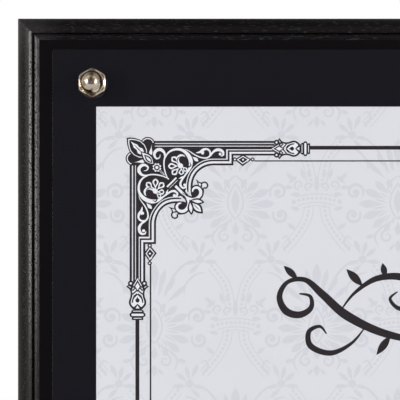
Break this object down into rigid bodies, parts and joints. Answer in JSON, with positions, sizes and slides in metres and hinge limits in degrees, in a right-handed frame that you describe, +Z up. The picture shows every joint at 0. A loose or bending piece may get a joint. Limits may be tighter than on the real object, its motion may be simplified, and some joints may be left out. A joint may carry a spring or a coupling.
{
  "type": "award plaque frame",
  "caption": "Black wall plaque for a letter-size certificate: flat panel in a moulded mitred rim, clear cover clamped by domed hexagon cap nuts, keyhole hangers behind.",
  "frame": {"origin": "middle of the board's back face, which lies against the wall", "axes": "+X to the viewer's right along the long side, +Z up, -Y towards the viewer, +Y into the wall"},
  "size_m": [0.3302, 0.0263, 0.2666],
  "materials": {
    "board_black": "smooth matte black film over fibreboard",
    "rail_black": "satin black lacquer over open-grained wood",
    "clear_acrylic": "clear, polished",
    "certificate_paper": "heavy printed certificate paper",
    "nylon": "smoky nylon, moulded",
    "polished_nickel": "warm nickel plate, polished",
    "plated_steel": "zinc plate"
  },
  "bodies": {
    "board": {"panel": "board_black", "rail_top": "rail_black", "rail_bottom": "rail_black", "rail_left": "rail_black", "rail_right": "rail_black", "stud_top_left": "plated_steel", "stud_top_right": "plated_steel", "stud_bottom_left": "plated_steel", "stud_bottom_right": "plated_steel", "hanger_top": "plated_steel", "hanger_side": "plated_steel", "hanger_screws": "plated_steel"},
    "cover": {"cover": "clear_acrylic"},
    "certificate": {"insert": "certificate_paper"},
    "washer_top_left": {"washer_top_left": "nylon"},
    "nut_top_left": {"nut_top_left": "polished_nickel"},
    "washer_top_right": {"washer_top_right": "nylon"},
    "nut_top_right": {"nut_top_right": "polished_nickel"},
    "washer_bottom_left": {"washer_bottom_left": "nylon"},
    "nut_bottom_left": {"nut_bottom_left": "polished_nickel"},
    "washer_bottom_right": {"washer_bottom_right": "nylon"},
    "nut_bottom_right": {"nut_bottom_right": "polished_nickel"}
  },
  "joints": [
    {"name": "cover_lift", "type": "slide", "parent": "board", "child": "cover", "axis": [0, -1, 0], "range_m": [0, 0.015]},
    {"name": "insert_slide", "type": "slide", "parent": "board", "child": "certificate", "axis": [1, 0, 0], "range_m": [0, 0.31]},
    {"name": "nut_travel_top_left", "type": "slide", "parent": "cover", "child": "washer_top_left", "axis": [0, -1, 0], "range_m": [0, 0.00476]},
    {"name": "nut_turn_top_left", "type": "hinge", "parent": "washer_top_left", "child": "nut_top_left", "pos_m": [-0.1415, -0.0192, 0.11268], "axis": [0, -1, 0], "range_deg": [0, 2160]},
    {"name": "nut_travel_top_right", "type": "slide", "parent": "cover", "child": "washer_top_right", "axis": [0, -1, 0], "range_m": [0, 0.00476]},
    {"name": "nut_turn_top_right", "type": "hinge", "parent": "washer_top_right", "child": "nut_top_right", "pos_m": [0.1415, -0.0192, 0.11268], "axis": [0, -1, 0], "range_deg": [0, 2160]},
    {"name": "nut_travel_bottom_left", "type": "slide", "parent": "cover", "child": "washer_bottom_left", "axis": [0, -1, 0], "range_m": [0, 0.00476]},
    {"name": "nut_turn_bottom_left", "type": "hinge", "parent": "washer_bottom_left", "child": "nut_bottom_left", "pos_m": [-0.1415, -0.0192, -0.11268], "axis": [0, -1, 0], "range_deg": [0, 2160]},
    {"name": "nut_travel_bottom_right", "type": "slide", "parent": "cover", "child": "washer_bottom_right", "axis": [0, -1, 0], "range_m": [0, 0.00476]},
    {"name": "nut_turn_bottom_right", "type": "hinge", "parent": "washer_bottom_right", "child": "nut_bottom_right", "pos_m": [0.1415, -0.0192, -0.11268], "axis": [0, -1, 0], "range_deg": [0, 2160]}
  ],
  "couplings": [
    {"joint": "nut_turn_top_left", "follows": "nut_travel_top_left", "rad_per_m": 7915.8},
    {"joint": "nut_turn_top_right", "follows": "nut_travel_top_right", "rad_per_m": 7915.8},
    {"joint": "nut_turn_bottom_left", "follows": "nut_travel_bottom_left", "rad_per_m": 7915.8},
    {"joint": "nut_turn_bottom_right", "follows": "nut_travel_bottom_right", "rad_per_m": 7915.8}
  ]
}
